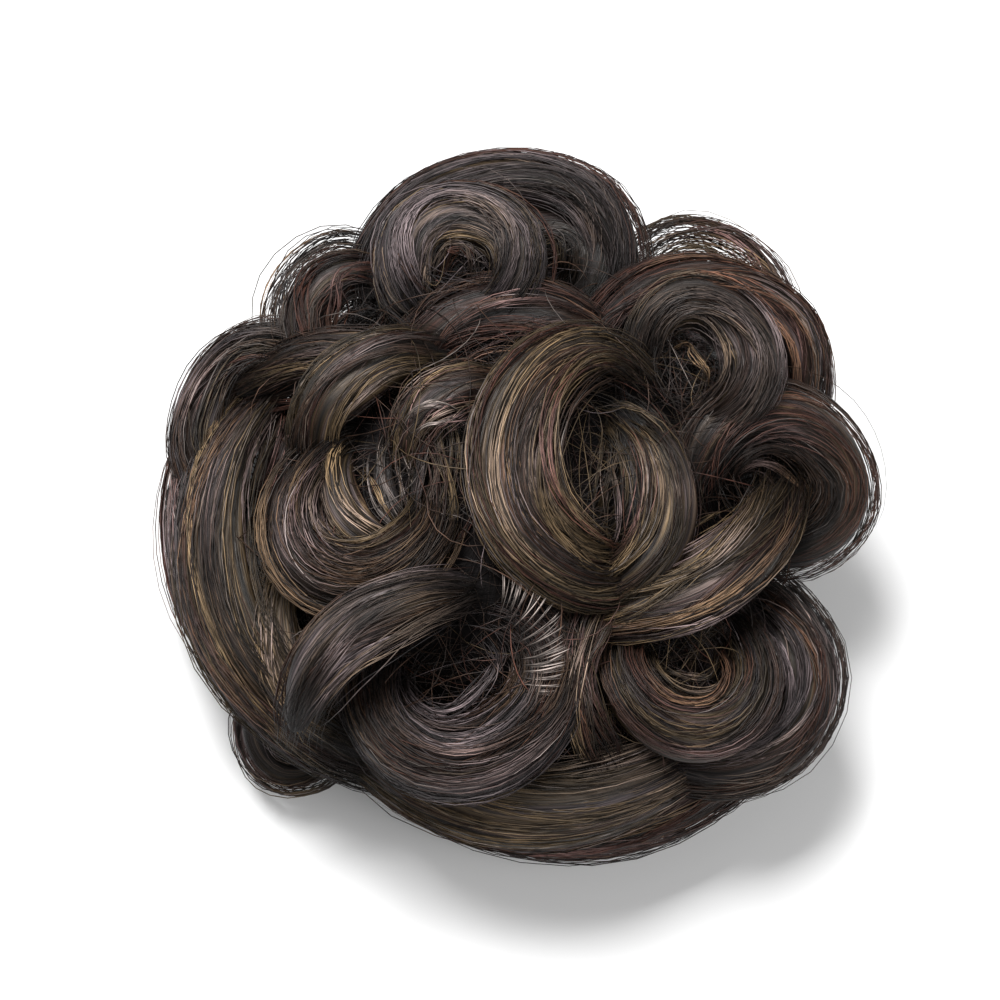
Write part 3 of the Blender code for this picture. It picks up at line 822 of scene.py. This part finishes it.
def dome_hairs(rng, look, count, height, radii, lengths, light, lift, rise):
    """Arcs laid over the core's dome, which is x^2/r^2 + y^2/r^2 + z^2/h^2 = 1 above its foot: each one is
    an arc of a circle in the plane that touches the dome, drawn in to the dome and lifted off it by
    lift + rise sin(pi s)^0.7, where the rise is the most that one has."""
    steps = 12
    size = np.array([DOME_RADIUS, DOME_RADIUS, DOME_TOP - DOME_FOOT])
    level = rng.uniform(*height, count)
    facing = rng.uniform(0, 2 * math.pi, count)
    flat = np.sqrt(1 - level**2)
    normal = np.stack([flat * np.cos(facing), flat * np.sin(facing), level], axis=-1)
    east = np.stack([-np.sin(facing), np.cos(facing), np.zeros(count)], axis=-1)
    north = unit(np.cross(normal, east))
    heading = rng.uniform(0, 2 * math.pi, (count, 1))
    ahead = east * np.cos(heading) + north * np.sin(heading)
    aside = np.cross(normal, ahead)
    length = rng.uniform(*lengths, (count, 1))
    radius = rng.uniform(*radii, (count, 1)) * rng.choice([-1, 1], (count, 1))
    along = np.linspace(0, 1, steps)[None, :]
    run = (along - 0.5) * length
    local = (normal * size)[:, None] + ahead[:, None] * (radius * np.sin(run / radius))[..., None]
    local = local + aside[:, None] * (radius * (1 - np.cos(run / radius)))[..., None]
    local = local / np.linalg.norm(local / size, axis=-1, keepdims=True)
    raised = 1 + lift + rng.uniform(0, rise, (count, 1)) * np.sin(math.pi * along) ** 0.7
    local = local * raised[..., None] + np.array([0, 0, DOME_FOOT])
    base = tress_colours(rng, look, "brown", count)
    share = np.broadcast_to(along, (count, steps))
    return hair_part(
        local * MM + BUN_MIDDLE,
        tapered(share, look.thickness, rng),
        tinted(rng, look, base, share, light),
        grains(share, 0.05, rng),
    )


def hollow_hairs(rng, look, count):
    """Roots combed up the wall of the hollow, from the weft ring to its top: (r cos t, r sin t) and a
    height that runs straight up at first, and then rises as a quarter ellipse."""
    steps = 10
    rise = np.linspace(0, 1, steps)[None, :]
    turn = rng.uniform(0, 2 * math.pi, (count, 1)) + rng.normal(0, 0.25, (count, 1)) * rise
    bend = np.radians(np.clip(rise * rng.uniform(95, 118, (count, 1)) - 28, 0, 88))
    off = rng.uniform(0.0, 0.7, (count, 1)) * np.sin(math.pi * rise)
    radius = (HOLLOW_RADIUS - CLEARANCE) * np.cos(bend) - off
    low = HOLLOW_FOOT + np.clip(rise * 3.4, 0, 1) * (HOLLOW_WALL_TOP - HOLLOW_FOOT)
    height = low + (HOLLOW_TOP - CLEARANCE - HOLLOW_WALL_TOP) * np.sin(bend)
    local = np.stack([radius * np.cos(turn), radius * np.sin(turn), height], axis=-1) * MM
    base = tress_colours(rng, look, "brown", count)
    share = np.broadcast_to(rise, (count, steps))
    return hair_part(
        local + BUN_MIDDLE,
        tapered(share, look.thickness * 1.2, rng),
        tinted(rng, look, base, share, 0.6),
        grains(share, 0.04, rng),
    )


# Materials


def new_material(name):
    """A material with its node tree and surface, or without them where it has been made before."""
    made = bpy.data.materials.get(name)
    if made:
        return made, None, None
    made = bpy.data.materials.new(name)
    made.use_nodes = True
    return made, made.node_tree, made.node_tree.nodes["Principled BSDF"]


def node(tree, kind, **sockets):
    """A shader node with the values of its sockets."""
    made = tree.nodes.new("ShaderNode" + kind)
    for name, value in sockets.items():
        made.inputs[name.replace("_", " ")].default_value = value
    return made


def streaked(tree, vector, scale, detail):
    """Noise, which runs in streaks where its space is drawn out one way."""
    noise = node(tree, "TexNoise", Scale=scale, Detail=detail, Roughness=0.6)
    tree.links.new(vector, noise.inputs["Vector"])
    return noise.outputs["Fac"]


def ranged(tree, value, low, high, near=0.3, far=0.7):
    """Carries a value's range from near to far over to the one from low to high."""
    mapped = tree.nodes.new("ShaderNodeMapRange")
    for name, number in (("From Min", near), ("From Max", far), ("To Min", low), ("To Max", high)):
        mapped.inputs[name].default_value = number
    tree.links.new(value, mapped.inputs["Value"])
    return mapped.outputs["Result"]


def finished(tree, surface, colour, streak, contrast, roughness, relief, strength, depth, specular):
    """Gives the surface its streaks: the colour times a number in the range "contrast", a roughness in a
    range of its own, and a bump from the relief."""
    scale = tree.nodes.new("ShaderNodeVectorMath")
    scale.operation = "SCALE"
    tree.links.new(colour, scale.inputs[0])
    tree.links.new(ranged(tree, streak, *contrast), scale.inputs["Scale"])
    tree.links.new(scale.outputs["Vector"], surface.inputs["Base Color"])
    tree.links.new(ranged(tree, streak, *roughness), surface.inputs["Roughness"])
    bump = node(tree, "Bump", Strength=strength, Distance=depth)
    tree.links.new(relief, bump.inputs["Height"])
    tree.links.new(bump.outputs["Normal"], surface.inputs["Normal"])
    surface.inputs["Specular IOR Level"].default_value = specular


def plain_colour(tree, colour):
    """A colour as a node, so that streaks can be laid over it."""
    shade = node(tree, "RGB")
    shade.outputs["Color"].default_value = (*colour, 1.0)
    return shade.outputs["Color"]


def hair_material():
    """Smooth curled hair: colour hair by hair, with its painted highlight and painted shade, fine streaks
    along it, and a soft shine whose roughness varies.
    """
    made, tree, surface = new_material("curled_hair")
    if tree is None:
        return made
    tint = tree.nodes.new("ShaderNodeAttribute")
    tint.attribute_name = "hair_tint"
    grain = tree.nodes.new("ShaderNodeAttribute")
    grain.attribute_name = "hair_grain"
    streak = streaked(tree, grain.outputs["Vector"], 2.6, 3.0)
    finished(
        tree, surface, tint.outputs["Color"], streak, contrast=(0.25, 1.75, 0.38, 0.62),
        roughness=(0.56, 0.38), relief=streak, strength=0.8, depth=0.4 * MM, specular=0.28,
    )
    return made


def under_hair_material(look):
    """The core between the locks: near-black hair, painted shade in the depth of the bun, combed up from the
    base, in streaks that run to the crown.
    """
    made, tree, surface = new_material("combed_under_hair")
    if tree is None:
        return made
    place = tree.nodes.new("ShaderNodeTexCoord")
    about = node(tree, "Mapping")
    about.vector_type = "POINT"
    about.inputs["Location"].default_value = tuple(-BUN_MIDDLE)
    tree.links.new(place.outputs["Object"], about.inputs["Vector"])
    parts = tree.nodes.new("ShaderNodeSeparateXYZ")
    tree.links.new(about.outputs["Vector"], parts.inputs["Vector"])
    turn = tree.nodes.new("ShaderNodeMath")
    turn.operation = "ARCTAN2"
    tree.links.new(parts.outputs["Y"], turn.inputs[0])
    tree.links.new(parts.outputs["X"], turn.inputs[1])
    radial = tree.nodes.new("ShaderNodeCombineXYZ")
    tree.links.new(turn.outputs["Value"], radial.inputs["X"])
    tree.links.new(parts.outputs["Z"], radial.inputs["Y"])
    streak = streaked(tree, radial.outputs["Vector"], 60.0, 4.0)
    finished(
        tree, surface, plain_colour(tree, look.under), streak, contrast=(0.3, 2.2),
        roughness=(0.85, 0.62), relief=streak, strength=0.6, depth=0.3 * MM, specular=0.08,
    )
    return made


def woven_material(name, colour, scale, smoothest):
    """Matte thread: a fine relief of round cells, with worn lighter fibres."""
    made, tree, surface = new_material(name)
    if tree is None:
        return made
    place = tree.nodes.new("ShaderNodeTexCoord")
    weave = node(tree, "TexVoronoi", Scale=scale)
    tree.links.new(place.outputs["Object"], weave.inputs["Vector"])
    fibre = streaked(tree, place.outputs["Object"], scale * 0.35, 4.0)
    finished(
        tree, surface, plain_colour(tree, colour), fibre, contrast=(0.5, 2.0), roughness=(0.95, smoothest),
        relief=weave.outputs["Distance"], strength=0.7, depth=0.3 * MM, specular=0.25,
    )
    return made


# Pieces


def add_piece(name, parts, replaced, finish):
    """Puts parts in the scene as one piece that rides the frame, and hides the node it stands for."""
    mesh = joined_mesh(name, parts)
    for each in finish:
        mesh.materials.append(each)
    piece = bpy.data.objects.new(name, mesh)
    bpy.context.scene.collection.objects.link(piece)
    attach(piece, "root")
    if replaced:
        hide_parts(replaced)
    return piece


def add_lock(row, look):
    """A lock with its body, its hairs and, where it is a ring, the hairs in its eye."""
    rng = seeded(row.name, look)
    parts = [lock_hairs(row, rng, look)]
    if row.fill:
        parts.append(lock_body(row, rng, look))
    if abs(row.sweep) > RING_SWEEP:
        parts.append(eye_hairs(row, rng, look, int(EYE_HAIRS * look.amount)))
        parts.append(crossing_hairs(row, rng, look, int(CROSSING_HAIRS * look.amount)))
    return add_piece(row.name + "_hair", parts, row.name, [hair_material()])


def skirt_locks():
    """The rings round the base: every other one is larger, wound the other way."""
    rows = []
    for index in range(SKIRT_COUNT):
        facing = SKIRT_FIRST_FACING + 360.0 * index / SKIRT_COUNT
        odd = index % 2
        size = SKIRT_RADIUS * (1.0 if odd else 1.1)
        x = SKIRT_DISTANCE * math.cos(math.radians(facing))
        y = SKIRT_DISTANCE * math.sin(math.radians(facing))
        start, sweep = (facing + 200, 300) if odd else (facing - 20, -300)
        tone = ("brown", "red", "ash")[index % 3]
        rows.append(
            Lock(
                f"skirt_curl_{index + 1:02d}", x, y, SKIRT_HEIGHT + 1.5 * odd, facing, SKIRT_TILT,
                rx=size, ry=size, start=start, sweep=sweep, grow=0, width=13, depth=14, roll=14,
                dip_start=6, dip_end=6, hairs=85, loose=0.18, fill=0.90, tone=tone, light=0.85, shine=0.50,
            )
        )
    return rows


def weft_part(base, steps=180, sides=110):
    """The weft ring: its rounded section, a superellipse, goes round the band. On the inner side it keeps
    clear of the band, r >= R + sqrt(c^2 - (z - h)^2). Rows of hair roots run round its underside as ridges,
    0.42 + 0.35 sin^2(pi r / row) mm high, and shallow folds, 0.06 (cos 90 t - 1) mm, down its outer side."""
    tall = (WEFT_HIGH[2] - WEFT_LOW[2]) / MM
    side = np.linspace(0, 2 * math.pi, sides, endpoint=False)
    across = np.sign(np.cos(side)) * np.abs(np.cos(side)) ** WEFT_ROUNDNESS
    up = np.sign(np.sin(side)) * np.abs(np.sin(side)) ** WEFT_ROUNDNESS
    radius = (WEFT_OUTER + WEFT_INNER) / 2 + (WEFT_OUTER - WEFT_INNER) / 2 * across
    height = tall / 2 * (1 + up)
    reach = BAND_THICKNESS / 2 + CLEARANCE
    groove = BAND_RADIUS + np.sqrt(np.maximum(reach**2 - (height - BAND_HEIGHT) ** 2, 0.0))
    radius = np.maximum(radius, np.where(across < 0, groove, 0.0))
    ridges = 0.42 + ROOT_RIDGE * np.sin(math.pi * (radius - WEFT_INNER) / ROOT_ROW) ** 2
    height = np.where((up < 0) & (np.abs(across) < 0.985), np.maximum(height, ridges), height)
    turn = np.linspace(0, 2 * math.pi, steps, endpoint=False)[:, None]
    fold = 0.06 * (np.cos(90 * turn) - 1)
    wide = radius + fold * np.maximum(across, 0.0)
    points = np.stack([wide * np.cos(turn), wide * np.sin(turn), height + 0 * turn], axis=-1) * MM
    return ring_part(points + BUN_MIDDLE, tuple(base.cloth))


def stitch_parts(base, steps=7):
    """Rows of thread on the weft ring: each stitch is a three-sided tube that comes out of the strip by
    cos(pi s) and goes back into it. The rows slant by turns one way and the other."""
    parts = []
    count = base.stitches
    turn = (np.arange(count) * 2 * math.pi / count)[:, None]
    along = np.linspace(-0.5, 0.5, steps)[None, :]
    colour = np.tile(np.array(base.thread), (count, steps, 1))
    for radius, height, lean in STITCH_ROWS:
        angle = turn + along * (STITCH_LENGTH / radius)
        slant = lean * along * 2.0
        if height:
            wide, high = radius + 0.30 * np.cos(math.pi * along) - 0.08, height + slant
        else:
            wide, high = radius + slant, 0.70 - 0.44 * np.cos(math.pi * along)
        local = np.stack([wide * np.cos(angle), wide * np.sin(angle), high + 0 * angle], axis=-1) * MM
        points = local + BUN_MIDDLE
        thick = np.full((count, steps), STITCH_WIDTH / 2 * MM)
        parts.append(hair_part(points, thick, colour, points / MM, 1))
    return parts


def band_part(base, steps=330, sides=18):
    """The elastic: a torus whose radius goes in between the ribs of its weave, which wind round it."""
    turn = np.linspace(0, 2 * math.pi, steps, endpoint=False)[:, None]
    side = np.linspace(0, 2 * math.pi, sides, endpoint=False)[None, :]
    ribs = 0.5 + 0.5 * np.cos(base.ribs * turn + 2 * side)
    thick = BAND_THICKNESS / 2 - RIB_DEPTH * ribs**2
    radius = BAND_RADIUS + thick * np.cos(side)
    height = BAND_HEIGHT + thick * np.sin(side)
    points = np.stack([radius * np.cos(turn), radius * np.sin(turn), height], axis=-1) * MM
    return ring_part(points + BUN_MIDDLE, tuple(base.elastic))


# Operators


class HAIRPIECE_OT_band(bpy.types.Operator):
    """Adds the woven elastic band"""

    bl_idname = "hairpiece.band"
    bl_label = "Elastic Band"

    def execute(self, context):
        base = context.scene.hairpiece_base
        finish = woven_material("woven_elastic", base.elastic, 2600.0, 0.7)
        add_piece("elastic_weave", [band_part(base)], "elastic_band", [finish])
        return {"FINISHED"}


class HAIRPIECE_OT_weft(bpy.types.Operator):
    """Adds the weft ring with its rows of stitches"""

    bl_idname = "hairpiece.weft"
    bl_label = "Weft Ring"

    def execute(self, context):
        base = context.scene.hairpiece_base
        finish = [
            woven_material("weft_strip", base.cloth, 1500.0, 0.75),
            woven_material("stitching_thread", base.thread, 3200.0, 0.6),
        ]
        parts = [weft_part(base), *stitch_parts(base)]
        add_piece("weft_strip_sewn", parts, "weft_ring", finish)
        return {"FINISHED"}


class HAIRPIECE_OT_core(bpy.types.Operator):
    """Finishes the core, and lays loose hair over it and in its hollow"""

    bl_idname = "hairpiece.core"
    bl_label = "Core"

    def execute(self, context):
        look = context.scene.hairpiece_hair
        core = bpy.data.objects["hair_core"]
        core.data.materials.clear()
        core.data.materials.append(under_hair_material(look))
        rng = seeded("core", look)
        parts = [dome_hairs(rng, look, int(count * look.amount), *row) for count, *row in DOME_HAIRS]
        parts.append(hollow_hairs(rng, look, int(HOLLOW_HAIRS * look.amount)))
        for row in LOOSE_TRESSES:
            parts.append(lock_hairs(row, rng, look))
            if row.fill:
                # painted shade: the body under a loose tress is darker again, at 0.4 of its light
                darker = row._replace(light=row.light * 0.4)
                parts.append(lock_body(darker, rng, look, sides=24, rings=20))
        parts.append(comb_hairs(PALE_COMB, rng, look, int(PALE_COMB.hairs * look.amount)))
        add_piece("core_hair", parts, None, [hair_material()])
        return {"FINISHED"}


def add_locks(context, rows):
    """Adds the locks of one group."""
    for row in rows:
        add_lock(row, context.scene.hairpiece_hair)
    return {"FINISHED"}


class HAIRPIECE_OT_crown_locks(bpy.types.Operator):
    """Adds the large curl on the crown and the locks round its eye"""

    bl_idname = "hairpiece.crown_locks"
    bl_label = "Crown Locks"

    def execute(self, context):
        return add_locks(context, CROWN_LOCKS)


class HAIRPIECE_OT_right_curls(bpy.types.Operator):
    """Adds the three curls down the right side"""

    bl_idname = "hairpiece.right_curls"
    bl_label = "Right Curls"

    def execute(self, context):
        return add_locks(context, RIGHT_CURLS)


class HAIRPIECE_OT_front_curls(bpy.types.Operator):
    """Adds the curl at the front with its dark eye, and the lock over it"""

    bl_idname = "hairpiece.front_curls"
    bl_label = "Front Curls"

    def execute(self, context):
        return add_locks(context, FRONT_CURLS)


class HAIRPIECE_OT_left_curls(bpy.types.Operator):
    """Adds the curl left of the middle and the locks that run past it"""

    bl_idname = "hairpiece.left_curls"
    bl_label = "Left Curls"

    def execute(self, context):
        return add_locks(context, LEFT_CURLS)


class HAIRPIECE_OT_back_curls(bpy.types.Operator):
    """Adds the large curl at the back with its swirl, and the thin lobes beside it"""

    bl_idname = "hairpiece.back_curls"
    bl_label = "Back Curls"

    def execute(self, context):
        return add_locks(context, BACK_CURLS)


class HAIRPIECE_OT_sweeps(bpy.types.Operator):
    """Adds the long locks that sweep round the left side and the front"""

    bl_idname = "hairpiece.sweeps"
    bl_label = "Sweeps"

    def execute(self, context):
        return add_locks(context, SWEEPS)


class HAIRPIECE_OT_skirt_curls(bpy.types.Operator):
    """Adds the rings of hair round the base"""

    bl_idname = "hairpiece.skirt_curls"
    bl_label = "Skirt Curls"

    def execute(self, context):
        return add_locks(context, skirt_locks())


class HAIRPIECE_OT_stage(bpy.types.Operator):
    """Adds the floor, the soft lights and the camera"""

    bl_idname = "hairpiece.stage"
    bl_label = "Stage"

    def execute(self, context):
        stage = context.scene.hairpiece_stage
        bpy.ops.mesh.primitive_plane_add(size=FLOOR_SIZE, location=(0, 0, CAD_BOX[0][2] - FLOOR_GAP))
        floor = context.object
        floor.name = "floor"
        paper, _, surface = new_material("floor_paper")
        surface.inputs["Base Color"].default_value = (*stage.floor, 1)
        surface.inputs["Roughness"].default_value = 0.85
        floor.data.materials.append(paper)

        world = bpy.data.worlds.new("studio")
        context.scene.world = world
        world.use_nodes = True
        world.node_tree.nodes["Background"].inputs["Color"].default_value = (1, 1, 1, 1)
        world.node_tree.nodes["Background"].inputs["Strength"].default_value = stage.sky
        context.scene.view_settings.view_transform = "Standard"

        for name, place, size in LIGHTS:
            data = bpy.data.lights.new(name, "AREA")
            data.size = size
            data.energy = getattr(stage, name)
            light = bpy.data.objects.new(name, data)
            context.scene.collection.objects.link(light)
            light.location = place
            light.rotation_euler = (Vector(LIT_PLACE) - Vector(place)).to_track_quat("-Z", "Y").to_euler()

        camera = bpy.data.objects.new("camera", bpy.data.cameras.new("camera"))
        context.scene.collection.objects.link(camera)
        elevation = math.radians(VIEW_ELEVATION)
        back = Vector((0, -math.cos(elevation), math.sin(elevation)))
        camera.location = Vector(BUN_MIDDLE) + Vector(VIEW_CENTRE) + back * VIEW_DISTANCE
        camera.rotation_euler = (-back).to_track_quat("-Z", "Y").to_euler()
        camera.data.sensor_width = SENSOR_WIDTH
        camera.data.lens = SENSOR_WIDTH / VIEW_WIDTH * VIEW_DISTANCE
        context.scene.camera = camera
        return {"FINISHED"}


class HAIRPIECE_PT_panel(bpy.types.Panel):
    """The hairpiece's pieces and its studio"""

    bl_label = "Top Knot Hairpiece"
    bl_idname = "HAIRPIECE_PT_panel"
    bl_space_type = "VIEW_3D"
    bl_region_type = "UI"
    bl_category = "Hairpiece"

    def draw(self, context):
        for group in ("hairpiece_hair", "hairpiece_base", "hairpiece_stage"):
            box = self.layout.box()
            settings = getattr(context.scene, group)
            for name in type(settings).__annotations__:
                box.prop(settings, name)
        for operator in OPERATORS:
            self.layout.operator(operator.bl_idname)


GROUPS = {
    "hairpiece_hair": HairpieceHair,
    "hairpiece_base": HairpieceBase,
    "hairpiece_stage": HairpieceStage,
}
OPERATORS = (
    HAIRPIECE_OT_band,
    HAIRPIECE_OT_weft,
    HAIRPIECE_OT_core,
    HAIRPIECE_OT_crown_locks,
    HAIRPIECE_OT_right_curls,
    HAIRPIECE_OT_front_curls,
    HAIRPIECE_OT_left_curls,
    HAIRPIECE_OT_back_curls,
    HAIRPIECE_OT_sweeps,
    HAIRPIECE_OT_skirt_curls,
    HAIRPIECE_OT_stage,
)


def register():
    for each in (*GROUPS.values(), *OPERATORS, HAIRPIECE_PT_panel):
        bpy.utils.register_class(each)
    for name, group in GROUPS.items():
        setattr(bpy.types.Scene, name, PointerProperty(type=group))


def unregister():
    for name in GROUPS:
        delattr(bpy.types.Scene, name)
    for each in reversed((*GROUPS.values(), *OPERATORS, HAIRPIECE_PT_panel)):
        bpy.utils.unregister_class(each)


def main():
    register()
    bpy.ops.hairpiece.band()
    bpy.ops.hairpiece.weft()
    bpy.ops.hairpiece.core()
    bpy.ops.hairpiece.crown_locks()
    bpy.ops.hairpiece.right_curls()
    bpy.ops.hairpiece.front_curls()
    bpy.ops.hairpiece.left_curls()
    bpy.ops.hairpiece.back_curls()
    bpy.ops.hairpiece.sweeps()
    bpy.ops.hairpiece.skirt_curls()
    bpy.ops.hairpiece.stage()

    bpy.context.view_layer.update()


if __name__ == "__main__":
    main()
